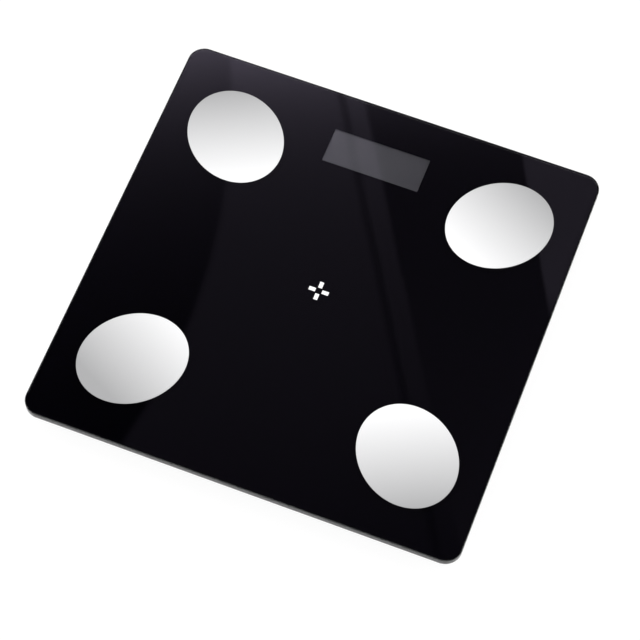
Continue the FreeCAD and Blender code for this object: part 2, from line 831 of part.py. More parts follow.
def battery_door():
    body = new_body("battery_door")
    front = "door_front"
    plate_outline = sketch(body, "PlateOutline", "tray_bottom")
    half = "door_length / 2"
    bay_notch = "latch_width / 2 + latch_notch_gap"
    notch_front = "latch_back - latch_gap_depth - latch_leg"
    polygon(plate_outline, [
        (f"-{half}", front),
        (half, front),
        (half, "door_back"),
        (bay_notch, "door_back"),
        (bay_notch, notch_front),
        (f"-({bay_notch})", notch_front),
        (f"-({bay_notch})", "door_back"),
        (f"-{half}", "door_back"),
    ])
    plate = pad(body, "Plate", plate_outline, "door_thickness")
    hinge_front = value(front)

    def hinge_edge(edge):
        box = edge.BoundBox
        on_line = max(abs(box.YMin - hinge_front), abs(box.YMax - hinge_front)) < 1e-4
        return on_line and box.XLength > 1

    fillet(body, "HingeEdge", plate, hinge_edge, "hinge_round")
    top = "tray_bottom + door_thickness - 0.2"
    for side, sign in (("Left", -1), ("Right", 1)):
        hook = sketch(body, f"Hook{side}Outline", f"{sign} * hook_x", plane="YZ_Plane")
        polygon(hook, [
            ("hinge_y + 0.4", top),
            ("hinge_y + hook_root", top),
            ("hinge_y + hook_root", "hook_top"),
            ("hinge_y - hook_reach", "hook_top"),
            ("hinge_y - hook_reach", "hook_bottom"),
            ("hinge_y + 0.4", "hook_bottom"),
        ])
        pad(body, f"Hook{side}", hook, "hook_width", midplane=True)
    latch = sketch(body, "LatchOutline", "0", plane="YZ_Plane")
    outer = "latch_back"
    inner = f"{notch_front} - 0.1"
    polygon(latch, [
        (f"{inner} - latch_leg", top),
        (inner, top),
        (inner, "latch_top - latch_leg"),
        (f"{outer} - latch_leg", "latch_top - latch_leg"),
        (f"{outer} - latch_leg", "tray_bottom + 0.3"),
        (outer, "tray_bottom + 0.3"),
        (outer, "latch_top - latch_chamfer"),
        (f"{outer} - latch_chamfer", "latch_top"),
        (f"{inner} - latch_leg", "latch_top"),
    ])
    pad(body, "Latch", latch, "latch_width", midplane=True)
    ridges = sketch(body, "RidgesOutline", "tray_bottom - ridge_height")
    for step in range(3):
        rectangle(ridges, "0", f"door_back - ridge_inset - {step} * ridge_pitch", "ridge_length",
                  "ridge_width")
    pad(body, "Ridges", ridges, "ridge_height + 0.1")
    return keep(body)


def battery(number, row, facing):
    """Make an AAA cell that lies along X with its nub towards facing."""
    can = "battery_can"
    body = turned_body(f"battery_{number}", [
        ("0", "battery_dish"),
        ("battery_dish_radius", "battery_dish"),
        ("battery_dish_radius", "0"),
        ("battery_radius - battery_rim", "0"),
        ("battery_radius", "battery_rim"),
        ("battery_radius", f"{can} - battery_rim"),
        ("battery_radius - battery_rim", can),
        ("battery_nub_radius", can),
        ("battery_nub_radius", f"{can} + battery_nub"),
        ("0", f"{can} + battery_nub"),
    ])
    tip = "bay_length / 2 - contact_thickness - contact_dimple"
    start = f"{-facing} * (battery_can + battery_nub - ({tip}))"
    y = f"bay_y + {row} * battery_pitch"
    return keep(place(body, start, y, "battery_z", turn=90 * facing, axis=Vector(0, 1, 0)))


def contact_plate(name, row, side):
    """Make the flat of a contact, against the bay's end wall."""
    x = f"{side} * (bay_length / 2 - contact_thickness / 2)"
    y = f"bay_y + {row} * battery_pitch"
    bottom = "battery_z - contact_side / 2"
    return block(name, x, y, bottom, "contact_thickness", "contact_side", "contact_side")


def contact_bridge(name, row_a, row_b, side):
    """Make the strip that links two contact plates."""
    x = f"{side} * (bay_length / 2 - contact_thickness / 2)"
    y = f"bay_y + ({row_a} + {row_b}) / 2 * battery_pitch"
    return block(name, x, y, "battery_z - bridge_width / 2", "contact_thickness", "battery_pitch",
                 "bridge_width")


def contact_dimple(name, row, side):
    """Make the raised button that meets a cell's nub."""
    button = document.addObject("Part::Cone", name)
    bind(button, Radius1="battery_nub_radius + dimple_flare", Radius2="battery_nub_radius",
         Height="contact_dimple")
    x = f"{side} * (bay_length / 2 - contact_thickness)"
    y = f"bay_y + {row} * battery_pitch"
    return place(button, x, y, "battery_z", turn=-90 * side, axis=Vector(0, 1, 0))


def contact_spring(name, row, side):
    """Make the conical spring that meets a cell's flat end."""
    gap = "bay_length - 2 * contact_thickness - contact_dimple - battery_can - battery_nub"
    coil = document.addObject("Part::Helix", f"{name}Line")
    bind(coil, Pitch="spring_pitch", Height=f"{gap} - 2 * spring_wire", Radius="spring_radius",
         Angle="spring_cone")
    section = document.addObject("Part::Circle", f"{name}Section")
    bind(section, Radius="spring_wire")
    section.Placement = Placement(Vector(0, 0, 0), Rotation(Vector(1, 0, 0), 90))
    bind(section, Placement__Base__x="spring_radius")
    document.recompute()
    wire = document.addObject("Part::Sweep", name)
    wire.Sections = [section]
    wire.Spine = (coil, ["Edge1"])
    wire.Solid = True
    wire.Frenet = True
    x = f"{side} * (bay_length / 2 - contact_thickness - spring_wire * 0.6)"
    y = f"bay_y + {row} * battery_pitch"
    return place(wire, x, y, "battery_z", turn=-90 * side, axis=Vector(0, 1, 0))


def contact_tail(name, row, side):
    """Make the solder tail that passes out through the bay's end wall."""
    x = f"{side} * (bay_length / 2 - contact_thickness / 2 + contact_tail / 2)"
    y = f"bay_y + {row} * battery_pitch"
    return block(name, x, y, "battery_z - 0.2", "contact_tail", "contact_tail_width", "contact_thickness")


def fused(label, pieces):
    whole = document.addObject("Part::MultiFuse", label)
    whole.Label = label
    whole.Shapes = pieces
    return keep(whole)


def battery_contacts():
    fused("contact_positive", [
        contact_plate("PositivePlate", -1, -1),
        contact_dimple("PositiveDimple", -1, -1),
        contact_tail("PositiveTailStrip", -1, -1),
    ])
    fused("contact_negative", [
        contact_plate("NegativePlate", 1, 1),
        contact_spring("NegativeSpring", 1, 1),
        contact_tail("NegativeTailStrip", 1, 1),
    ])
    for name, side, spring_row, dimple_row in (("left", -1, 0, 1), ("right", 1, -1, 0)):
        fused(f"contact_link_{name}", [
            contact_plate(f"LinkSpringPlate_{name}", spring_row, side),
            contact_plate(f"LinkDimplePlate_{name}", dimple_row, side),
            contact_bridge(f"LinkBridge_{name}", spring_row, dimple_row, side),
            contact_spring(f"LinkSpring_{name}", spring_row, side),
            contact_dimple(f"LinkDimple_{name}", dimple_row, side),
        ])


# ---- Circuit board and display ----------------------------------------------------------


def main_board():
    body = new_body("main_board")
    outline = sketch(body, "Outline", "board_bottom")
    middle = "(board_front + board_back) / 2"
    rounded_rectangle(outline, "0", middle, "board_width", "board_back - board_front", "board_corner")
    for sign in (-1, 1):
        for y in ("boss_front", "boss_back"):
            circle(outline, f"{sign} * boss_x", y, "board_hole")
    pad(body, "Board", outline, "board_thickness")
    return keep(body)


def board_screw(name, x, y):
    top = "board_bottom + board_thickness"
    body = turned_body(name, [
        ("0", f"{top} - screw_length"),
        ("screw_radius - screw_chamfer", f"{top} - screw_length"),
        ("screw_radius", f"{top} - screw_length + screw_point"),
        ("screw_radius", top),
        ("screw_head", top),
        ("screw_head", f"{top} + screw_head_height * 0.6"),
        ("screw_head - screw_chamfer", f"{top} + screw_head_height"),
        ("recess_radius", f"{top} + screw_head_height"),
        ("recess_radius - 0.2", f"{top} + screw_head_height - recess_depth"),
        ("0", f"{top} + screw_head_height - recess_depth"),
    ])
    return place(body, x, y)


def board_chip(label, x, y, width, depth, height, pins_each_side):
    """Make a chip with a row of short legs along both long sides."""
    top = "board_bottom + board_thickness"
    body = new_body(label)
    case = sketch(body, "CaseOutline", f"{top} + 0.1")
    rectangle(case, x, y, width, depth)
    pad(body, "Case", case, f"{height} - 0.1")
    legs = sketch(body, "LegsOutline", top)
    pitch = width / (pins_each_side + 1)
    for sign in (-1, 1):
        for number in range(1, pins_each_side + 1):
            leg_x = x - width / 2 + pitch * number
            rectangle(legs, leg_x, y + sign * (depth / 2 + 0.3), pitch * 0.45, "1.4")
    pad(body, "Legs", legs, "0.35")
    return keep(body)


def wireless_module():
    """Make a small radio board under a shield can."""
    top = "board_bottom + board_thickness"
    body = new_body("wireless_module")
    base = sketch(body, "BaseOutline", top)
    rectangle(base, "module_x", "module_y", "module_width", "module_depth")
    pad(body, "Base", base, "module_board")
    can = sketch(body, "CanOutline", f"{top} + module_board")
    rounded_rectangle(can, "can_x", "module_y", "can_width", "can_depth", "can_corner")
    pad(body, "Can", can, "can_height")
    return keep(body)


def capacitor():
    top = "board_bottom + board_thickness"
    neck = "capacitor_radius - capacitor_neck"
    body = turned_body("capacitor", [
        ("0", top),
        ("capacitor_radius", top),
        ("capacitor_radius", f"{top} + 0.8"),
        (neck, f"{top} + 1.1"),
        ("capacitor_radius", f"{top} + 1.4"),
        ("capacitor_radius", f"{top} + capacitor_height - 0.4"),
        ("capacitor_radius - 0.4", f"{top} + capacitor_height"),
        ("0", f"{top} + capacitor_height"),
    ])
    return keep(place(body, "capacitor_x", "capacitor_y"))


# The sockets along the board's front edge: middle and number of ways of each.
SOCKETS = {
    "toe_left": (-43.0, 3),
    "electrodes_left": (-33.0, 2),
    "heel_left": (-23.0, 3),
    "battery": (0.0, 2),
    "heel_right": (23.0, 3),
    "electrodes_right": (33.0, 2),
    "toe_right": (43.0, 3),
}
LEAD_ENTRY = "board_bottom + board_thickness + entry_height"


def board_socket(name, x, ways):
    """Make a socket that a lead enters from the front."""
    top = "board_bottom + board_thickness"
    body = new_body(f"Socket_{name}")
    width = f"{ways} * strand_pitch + 2 * socket_gap"
    outline = sketch(body, "Outline", top)
    rectangle(outline, x, "board_front + socket_inset + socket_depth / 2", width, "socket_depth")
    pad(body, "Case", outline, "socket_height")
    mouth = sketch(body, "MouthOutline", f"{LEAD_ENTRY} - mouth_height / 2")
    mouth_width = f"{ways} * strand_pitch + 0.4"
    rectangle(mouth, x, "board_front + socket_inset + mouth_depth / 2", mouth_width, "mouth_depth")
    pocket(body, "Mouth", mouth, "mouth_height")
    return body


def display_frame():
    body = new_body("display_frame")
    top = "board_bottom + board_thickness"
    outline = sketch(body, "Outline", top)
    rounded_rectangle(outline, "0", "window_y", "frame_width", "frame_depth", "1")
    rectangle(outline, "0", "window_y", "frame_width - 2 * frame_wall", "frame_depth - 2 * frame_wall")
    pad(body, "Frame", outline, f"glass_bottom - print_thickness - tape_thickness - ({top})")
    return keep(body)


def display_gasket():
    body = new_body("display_gasket")
    outline = sketch(body, "Outline", "glass_bottom - print_thickness - tape_thickness")
    rectangle(outline, "0", "window_y", "frame_width", "frame_depth")
    rectangle(outline, "0", "window_y", "window_width + 1", "window_depth + 1")
    pad(body, "Gasket", outline, "tape_thickness")
    return keep(body)


def display_stack():
    """Make the display panel, the backlight under it and the strips that connect it."""
    top = "board_bottom + board_thickness"
    room_width = "frame_width - 2 * frame_wall - 0.4"
    room_depth = "frame_depth - 2 * frame_wall - 0.4"
    strip_height = f"panel_top - panel_thickness - ({top})"
    light_depth = f"({room_depth}) - 2 * strip_thickness - 0.8"
    panel_bottom = "panel_top - panel_thickness"
    keep(block("display_panel", "0", "window_y", panel_bottom, room_width, room_depth, "panel_thickness"))
    keep(block("backlight", "0", "window_y", top, room_width, light_depth, f"{strip_height} - 0.1"))
    strips = []
    for name, sign in (("StripNear", -1), ("StripFar", 1)):
        y = f"window_y + {sign} * (({room_depth}) - strip_thickness) / 2"
        strips.append(block(name, "0", y, top, room_width, "strip_thickness", strip_height))
    group("connector_strips", strips)


def unit_button():
    floor_top = "tray_bottom + tray_floor"
    body = turned_body("unit_button", [
        ("0", "tray_bottom + 0.55"),
        ("button_radius - 1.2", "tray_bottom + 0.2"),
        ("button_radius - 0.4", "tray_bottom + 0.2"),
        ("button_radius", "tray_bottom + 0.6"),
        ("button_radius", f"{floor_top} + 0.05"),
        ("button_flange", f"{floor_top} + 0.05"),
        ("button_flange", f"{floor_top} + 0.65"),
        ("plunger_radius", f"{floor_top} + 0.65"),
        ("plunger_radius", "plunger_bottom"),
        ("0", "plunger_bottom"),
    ])
    return keep(place(body, "button_x", "button_y"))


def push_switch():
    body = new_body("push_switch")
    outline = sketch(body, "Outline", "switch_bottom")
    rounded_rectangle(outline, "0", "0", "switch_side", "switch_side", "0.6")
    pad(body, "Case", outline, "board_bottom - switch_bottom")
    bore = sketch(body, "Bore", "switch_bottom")
    circle(bore, "0", "0", "plunger_radius + 0.1")
    pocket(body, "BoreCut", bore, "1.3")
    feet = sketch(body, "FeetOutline", "board_bottom - 0.25")
    for across in (-1, 1):
        for along in (-1, 1):
            rectangle(feet, f"{across} * (switch_side / 2 + 0.5)", f"{along} * 2.2", "1.4", "0.8")
    pad(body, "Feet", feet, "0.25")
    return keep(place(body, "button_x", "button_y"))


def switch_plunger():
    body = turned_body("switch_plunger", [
        ("0", "plunger_bottom"),
        ("plunger_radius - 0.3", "plunger_bottom"),
        ("plunger_radius", "plunger_bottom + 0.3"),
        ("plunger_radius", "plunger_bottom + 1.3"),
        ("0", "plunger_bottom + 1.3"),
    ])
    return keep(place(body, "button_x", "button_y"))


# ---- Leads ------------------------------------------------------------------------------


def rounded_route(points):
    """Join points by straight runs with a tangent arc at each inner point."""
    edges = []
    start = points[0]
    for before, corner, after in zip(points, points[1:], points[2:]):
        inward = before - corner
        outward = after - corner
        half_angle = inward.getAngle(outward) / 2
        trim = 0.45 * min(inward.Length, outward.Length)
        entry = corner + inward.normalize() * trim
        leave = corner + outward.normalize() * trim
        bisector = (inward + outward).normalize()
        radius = trim * math.tan(half_angle)
        middle = corner + bisector * (radius / math.sin(half_angle) - radius)
        edges.append(Part.LineSegment(start, entry).toShape())
        edges.append(Part.Arc(entry, middle, leave).toShape())
        start = leave
    edges.append(Part.LineSegment(start, points[-1]).toShape())
    return Part.Wire(edges)


def strand(points):
    """Sweep one insulated strand along a route and check its volume."""
    route = rounded_route(points)
    radius = value("strand_radius")
    direction = points[1] - points[0]
    section = Part.Wire(Part.Circle(points[0], direction, radius).toShape())
    solid = route.makePipeShell([section], True, False)
    expected = math.pi * radius ** 2 * route.Length
    if abs(solid.Volume - expected) > 0.02 * expected:
        raise ValueError("a strand's volume doesn't match its length")
    return solid


def beside(points, shift):
    """Shift a route sideways in plan, mitring its corners."""
    shifted = []
    for index, point in enumerate(points):
        runs = []
        if index:
            runs.append(point - points[index - 1])
        if index < len(points) - 1:
            runs.append(points[index + 1] - point)
        sides = [Vector(-run.y, run.x, 0).normalize() for run in runs]
        mean = sides[0] if len(sides) == 1 else (sides[0] + sides[1]).normalize()
        shifted.append(point + mean * (shift / mean.dot(sides[0])))
    return shifted


def mirrored(points, corner):
    """Place a route that was given for the right-hand side."""
    across, _ = CORNERS[corner]
    return [Vector(across * point.x, point.y, point.z) for point in points]


def solid_feature(label, shape):
    piece = document.addObject("Part::Feature", label)
    piece.Label = label
    piece.Shape = shape
    piece.Placement = Placement()
    return keep(piece)


def drum_exit(along):
    """Give the first points of a load cell's lead, from its gauge out of the drum."""
    height = value("well_top + well_relief / 2")
    offset = value("foot_offset")
    points = []
    for distance in (9.0, value("well_radius + well_wall") + 5):
        step = distance * math.sqrt(0.5)
        points.append(Vector(offset - step, along * (offset - step), height))
    return points


def socket_entry(name, extra=0.0):
    """Give the last two points of a lead, straight into its socket."""
    x = abs(SOCKETS[name][0]) + extra
    height = value(LEAD_ENTRY)
    front = value("board_front")
    return [Vector(x, front - 6.0, height), Vector(x, front + 1.8, height)]


def cell_lead(corner):
    """Make the three strands from a load cell to the board."""
    floor = value("tray_bottom + tray_floor + strand_radius") + 0.05
    _, along = CORNERS[corner]
    if along < 0:
        run = [Vector(54, -50, floor), Vector(44, -34, floor), Vector(44, 40, floor),
               Vector(28.5, 50.5, floor + 0.6)]
    else:
        run = [Vector(54, 54, floor + 1.2), Vector(46, 51, floor + 2.2)]
    points = drum_exit(along) + run + socket_entry(corner)
    pitch = value("strand_pitch")
    strands = [strand(mirrored(beside(points, step * pitch), corner)) for step in (-1, 0, 1)]
    return solid_feature(f"cell_lead_{corner}", Part.makeCompound(strands))


def electrode_lead(corner):
    """Make the lug on an electrode's stud and the strand from it to the board."""
    across, along = CORNERS[corner]
    stud = Vector(value("electrode_x"), along * value("electrode_y"), 0)
    lug_z = value("glass_bottom - print_thickness - lug_thickness")
    ring = Part.makeCylinder(value("lug_radius"), value("lug_thickness"), Vector(0, 0, lug_z))
    bore = Part.makeCylinder(value("stud_radius") + 0.1, value("lug_thickness"), Vector(0, 0, lug_z))
    height = lug_z - value("strand_radius") + 0.15
    socket = "electrodes_right"
    side = 0.5 * value("strand_pitch")
    floor = value("tray_bottom + tray_floor + strand_radius") + 0.05
    if along < 0:
        start = stud + Vector(-4.2, 3.0, height)
        run = [stud + Vector(-14, 12, height - 1.2), Vector(58, -48, 11), Vector(50.5, -36, floor),
               Vector(50.5, 42, floor), Vector(38, 50, floor + 1.6)]
        end = socket_entry(socket, -side)
    else:
        start = stud + Vector(-4.2, -3.0, height)
        run = [stud + Vector(-16, -12, height - 0.6), Vector(50, 52, 15.2), Vector(39, 49, 14.6)]
        end = socket_entry(socket, side)
    tail = Part.makeBox(4.4, 1.6, value("lug_thickness"), Vector(1.9, -0.8, lug_z))
    angle = math.degrees(math.atan2(start.y - stud.y, start.x - stud.x))
    lug = ring.fuse(tail).cut(bore)
    lug.rotate(Vector(0, 0, 0), Vector(0, 0, 1), angle)
    lug.translate(stud)
    if across < 0:
        lug = lug.mirror(Vector(0, 0, 0), Vector(1, 0, 0))
    return lug.fuse(strand(mirrored([start] + run + end, corner)))


def battery_lead(side):
    """Make the strand from a bay contact's tail to the board."""
    tail_x = value("bay_length / 2 + contact_tail - contact_thickness / 2")
    tail_y = value("bay_y") + side * value("battery_pitch")
    z = value("battery_z - 0.2 - strand_radius")
    points = [Vector(side * (tail_x - 0.9), tail_y, z), Vector(side * (tail_x + 1.6), tail_y + 3, z)]
    points += [Vector(side * 34.5, 40, z), Vector(side * 31.5, 47.2, z + 0.2), Vector(side * 12, 47.5, z)]
    x = side * 0.5 * value("strand_pitch")
    points += [Vector(x, value("board_front") - 5.0, value(LEAD_ENTRY)),
               Vector(x, value("board_front") + 1.8, value(LEAD_ENTRY))]
    return strand(points)


# ---- Assembly ---------------------------------------------------------------------------


def build():
    fill_sheet()
    glass_platform()
    back_print()
    adhesive_tape()
    centre_mark()
    base_tray()
    nuts = []
    gauges = []
    for corner, x, y in corner_places("electrode_x", "electrode_y"):
        electrode(corner, x, y)
        nuts.append(electrode_nut(corner, x, y))
    group("electrode_nuts", nuts)
    for corner, x, y in corner_places("foot_offset", "foot_offset"):
        foot_cup(corner, x, y)
        foot_pad(corner, x, y)
        load_cell(corner, x, y)
        cell_retainer(corner, x, y)
        gauges.append(strain_gauge(corner, x, y))
        cell_lead(corner)
    group("strain_gauges", gauges)
    solid_feature("electrode_leads", Part.makeCompound([electrode_lead(corner) for corner in CORNERS]))
    battery_door()
    for number, row, facing in ((1, -1, -1), (2, 0, 1), (3, 1, -1)):
        battery(number, row, facing)
    battery_contacts()
    solid_feature("battery_leads", Part.makeCompound([battery_lead(side) for side in (-1, 1)]))
    main_board()
    screws = []
    for sign in (-1, 1):
        for y in ("boss_front", "boss_back"):
            screws.append(board_screw(f"Screw{len(screws)}", f"{sign} * boss_x", y))
    group("board_screws", screws)
    board_chip("controller_chip", 2.0, 73.5, 10.0, 6.0, 1.4, 10)
    board_chip("amplifier_chip", 18.0, 73.5, 8.0, 4.4, 1.4, 7)
    wireless_module()
    capacitor()
    sockets = [board_socket(name, x, ways) for name, (x, ways) in SOCKETS.items()]
    group("board_sockets", sockets)
    display_frame()
    display_gasket()
    display_stack()
    unit_button()
    push_switch()
    switch_plunger()
    document.recompute()


def check():
    """Stop if any object failed, any cut missed, or any sub-part isn't sound."""
    for thing in document.Objects:
        if {"Invalid", "Error"} & set(thing.State):
            raise ValueError(f"{thing.Name} failed: {thing.State}")
        if thing.TypeId == "PartDesign::Pocket":
            if thing.Shape.Volume > thing.BaseFeature.Shape.Volume - 0.01:
                raise ValueError(f"{thing.Label} cuts nothing")
    for node in nodes:
        if node.Shape.isNull() or not node.Shape.isValid() or not node.Shape.Solids:
            raise ValueError(f"{node.Label} isn't a valid solid")


def export():
    os.makedirs("parts", exist_ok=True)
    for node in nodes:
        node.Shape.exportStep(f"parts/{node.Label}.step")


build()
check()
export()
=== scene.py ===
import bmesh
import bpy
import json
import math
from mathutils import Matrix, Vector


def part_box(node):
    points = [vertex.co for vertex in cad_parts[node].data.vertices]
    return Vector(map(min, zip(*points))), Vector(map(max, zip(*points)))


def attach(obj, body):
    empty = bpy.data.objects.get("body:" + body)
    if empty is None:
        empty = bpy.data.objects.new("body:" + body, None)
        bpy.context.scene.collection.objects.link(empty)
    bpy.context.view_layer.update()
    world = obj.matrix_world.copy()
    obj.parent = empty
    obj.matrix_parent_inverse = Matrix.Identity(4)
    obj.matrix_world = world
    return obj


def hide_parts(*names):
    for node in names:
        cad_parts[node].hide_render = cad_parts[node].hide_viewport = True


# A square glass bathroom scale on a pale studio floor. Everything is in metres, in the frame
# of the CAD model: the origin is on the floor under the middle of the glass, +Y points to
# the display and +Z is up.

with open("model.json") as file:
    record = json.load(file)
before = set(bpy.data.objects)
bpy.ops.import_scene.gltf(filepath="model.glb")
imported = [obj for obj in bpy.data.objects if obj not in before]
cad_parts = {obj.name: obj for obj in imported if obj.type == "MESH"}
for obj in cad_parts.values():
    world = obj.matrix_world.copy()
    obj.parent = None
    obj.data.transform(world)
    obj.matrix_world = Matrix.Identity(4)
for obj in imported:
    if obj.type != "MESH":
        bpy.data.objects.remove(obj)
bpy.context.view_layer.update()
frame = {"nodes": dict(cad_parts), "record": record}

MM = 0.001
CORNERS = {"toe_left": (-1, 1), "toe_right": (1, 1), "heel_left": (-1, -1), "heel_right": (1, -1)}

# Sizes that the frame's boxes don't hold, and how finely round shapes are drawn
GLASS_CORNER = 10 * MM
GLASS_EDGE = 1.0 * MM
GLASS_UNDER_EDGE = 0.2 * MM
PRINT_INSET = 0.2 * MM
PRINT_OVERLAP = 0.02 * MM
WINDOW = (60 * MM, 23 * MM)
STUD_HOLE = 1.8 * MM
STUD_RADIUS = 1.5 * MM
PAD_LONG = 32.5 * MM
PAD_SHORT = 27.7 * MM
PAD_EDGE = 0.14 * MM
PAD_CENTRE = (82.8 * MM, 78.4 * MM)
MARK_BAR = 2.4 * MM
MARK_REACH = 6 * MM
MARK_GAP = 2 * MM
ROUND_STEPS = 24
OVAL_STEPS = 160
STUD_STEPS = 24
GLASS_EDGE_STEPS = 10
PAD_EDGE_STEPS = 5

# Studio
FLOOR_SIDE = 8.0
FLOOR_DROP = 0.05 * MM
FLOOR_GLOW = 0.90
ROOM_LIGHT = 1.25
ROOM_COLOUR = (ROOM_LIGHT, ROOM_LIGHT, ROOM_LIGHT)
BLACK = (0.0, 0.0, 0.0)

# The camera's place is measured from the middle of the glass's top face. Its turn is in
# degrees: the tilt back from straight down, the roll, and the heading.
CAMERA_PLACE = (0.2146, -0.6030, 1.2367)
CAMERA_TURN = (26.667, -0.735, 20.944)
CAMERA_LENS = 136.35
CAMERA_SENSOR = 36.0

# Where the ceiling that the camera sees in the glass changes, in metres on its top face
GLOW_LINE = 0.125
CURVE_ACROSS = -0.0615
CURVE_ALONG = -0.058
CURVE_BOW = 1.3
CURVE_SOFT = 0.003
STRIP_LINE = ((-0.035, 0.129), (0.109, -0.112))
STRIP_WIDTH = 0.013
STRIP_SOFT = 0.002
THIN_LINE_LEFT = (-0.0045, -0.0005)
THIN_LINE_RIGHT = (0.004, 0.0005)
PATCH_LINE = ((0.081, 0.125), (0.1285, 0.033))
PATCH_EDGE = (-0.001, 0.002)
PATCH_FADE = (0.02, 0.05)
MIRROR_REACH = 0.145
MIRROR_FADE = 0.32

# How bright that ceiling is, and the rest of the room by the height of the direction
DARKEST_LEVEL = 0.005
THIN_LINE_LEVEL = 0.62
PATCH_LEVEL = 0.185
WIDE_LEVEL = 0.09
HORIZON_RISE = (0.55, 0.05)
LOWEST_HEIGHT = 0.02
MIRROR_TINT = (1.12, 1.0, 1.34)
WIDE_TINT = (1.0, 1.0, 1.02)


# ---- Node formulas ----------------------------------------------------------------------


class Field:
    """A socket of a node tree that can be used in ordinary arithmetic."""

    def __init__(self, tree, socket):
        self.tree = tree
        self.socket = socket

    def math(self, operation, *others):
        """Work out this field and others, which may be fields or plain numbers, by a math node."""
        node = self.tree.nodes.new("ShaderNodeMath")
        node.operation = operation
        for number, item in enumerate((self, *others)):
            if isinstance(item, Field):
                self.tree.links.new(item.socket, node.inputs[number])
            else:
                node.inputs[number].default_value = item
        return Field(self.tree, node.outputs[0])

    def __add__(self, other):
        return self.math("ADD", other)

    def __sub__(self, other):
        return self.math("SUBTRACT", other)

    def __mul__(self, other):
        return self.math("MULTIPLY", other)

    def __truediv__(self, other):
        return self.math("DIVIDE", other)

    def above(self, other):
        return self.math("MAXIMUM", other)

    def below(self, other):
        return self.math("MINIMUM", other)

    def step(self, start, end):
        """Rise smoothly from 0 at start to 1 at end; end may be the lower one."""
        node = self.tree.nodes.new("ShaderNodeMapRange")
        node.interpolation_type = "SMOOTHSTEP"
        low, high = min(start, end), max(start, end)
        node.inputs["From Min"].default_value = low
        node.inputs["From Max"].default_value = high
        node.inputs["To Min"].default_value = 0.0 if start < end else 1.0
        node.inputs["To Max"].default_value = 1.0 if start < end else 0.0
        self.tree.links.new(self.socket, node.inputs["Value"])
        return Field(self.tree, node.outputs["Result"])

    def spread(self, low, high, start=0.0, end=1.0):
        """Carry the range start to end over to low to high."""
        node = self.tree.nodes.new("ShaderNodeMapRange")
        node.inputs["From Min"].default_value = start
        node.inputs["From Max"].default_value = end
        node.inputs["To Min"].default_value = low
        node.inputs["To Max"].default_value = high
        self.tree.links.new(self.socket, node.inputs["Value"])
        return Field(self.tree, node.outputs["Result"])


def blend_colours(tree, amount, first, second):
    """Give the colour that goes from the first to the second as the amount goes from 0 to 1."""
    node = tree.nodes.new("ShaderNodeMix")
    node.data_type = "RGBA"
    for name, item in (("A", first), ("B", second)):
        socket = next(s for s in node.inputs if s.name == name and s.type == "RGBA")
        if isinstance(item, bpy.types.NodeSocket):
            tree.links.new(item, socket)
        else:
            socket.default_value = (*item, 1.0)
    factor = next(s for s in node.inputs if s.name == "Factor" and s.type == "VALUE")
    tree.links.new(amount.socket, factor)
    return next(s for s in node.outputs if s.type == "RGBA")


class Surface:
    """A principled material being put together."""

    def __init__(self, name, **inputs):
        self.material = bpy.data.materials.new(name)
        self.material.use_nodes = True
        self.tree = self.material.node_tree
        self.shader = self.tree.nodes["Principled BSDF"]
        self.coordinates = self.tree.nodes.new("ShaderNodeTexCoord").outputs["Object"]
        self.set(**inputs)

    def set(self, **inputs):
        """Set inputs of the shader to numbers, colours, fields or sockets."""
        for name, item in inputs.items():
            socket = self.shader.inputs[name.replace("_", " ")]
            if isinstance(item, Field):
                self.tree.links.new(item.socket, socket)
            elif isinstance(item, bpy.types.NodeSocket):
                self.tree.links.new(item, socket)
            elif isinstance(item, tuple):
                socket.default_value = (*item, 1.0)
            else:
                socket.default_value = item
        return self

    def place(self, axis):
        """Give the coordinate along an axis, in the frame of the CAD model."""
        node = self.tree.nodes.new("ShaderNodeSeparateXYZ")
        self.tree.links.new(self.coordinates, node.inputs[0])
        return Field(self.tree, node.outputs[axis])

    def noise(self, size, detail=2.0, stretch=(1.0, 1.0, 1.0)):
        """Give a soft noise whose grains are about size across."""
        scaled = self.tree.nodes.new("ShaderNodeMapping")
        scaled.inputs["Scale"].default_value = tuple(part / size for part in stretch)
        self.tree.links.new(self.coordinates, scaled.inputs["Vector"])
        node = self.tree.nodes.new("ShaderNodeTexNoise")
        node.inputs["Scale"].default_value = 1.0
        node.inputs["Detail"].default_value = detail
        self.tree.links.new(scaled.outputs[0], node.inputs["Vector"])
        return Field(self.tree, node.outputs["Fac"])

    def cells(self, size):
        """Give the distance to the nearest of points that lie about size apart."""
        node = self.tree.nodes.new("ShaderNodeTexVoronoi")
        node.inputs["Scale"].default_value = 1.0 / size
        self.tree.links.new(self.coordinates, node.inputs["Vector"])
        return Field(self.tree, node.outputs["Distance"])

    def bump(self, height, depth, strength=1.0):
        """Let a field raise the surface by up to a depth."""
        node = self.tree.nodes.new("ShaderNodeBump")
        node.inputs["Strength"].default_value = strength
        node.inputs["Distance"].default_value = depth
        self.tree.links.new(height.socket, node.inputs["Height"])
        self.tree.links.new(node.outputs[0], self.shader.inputs["Normal"])
        return self

    def colours(self, amount, first, second):
        """Colour the surface from the first to the second as the amount goes from 0 to 1."""
        return self.set(Base_Color=blend_colours(self.tree, amount, first, second))


# ---- Materials --------------------------------------------------------------------------


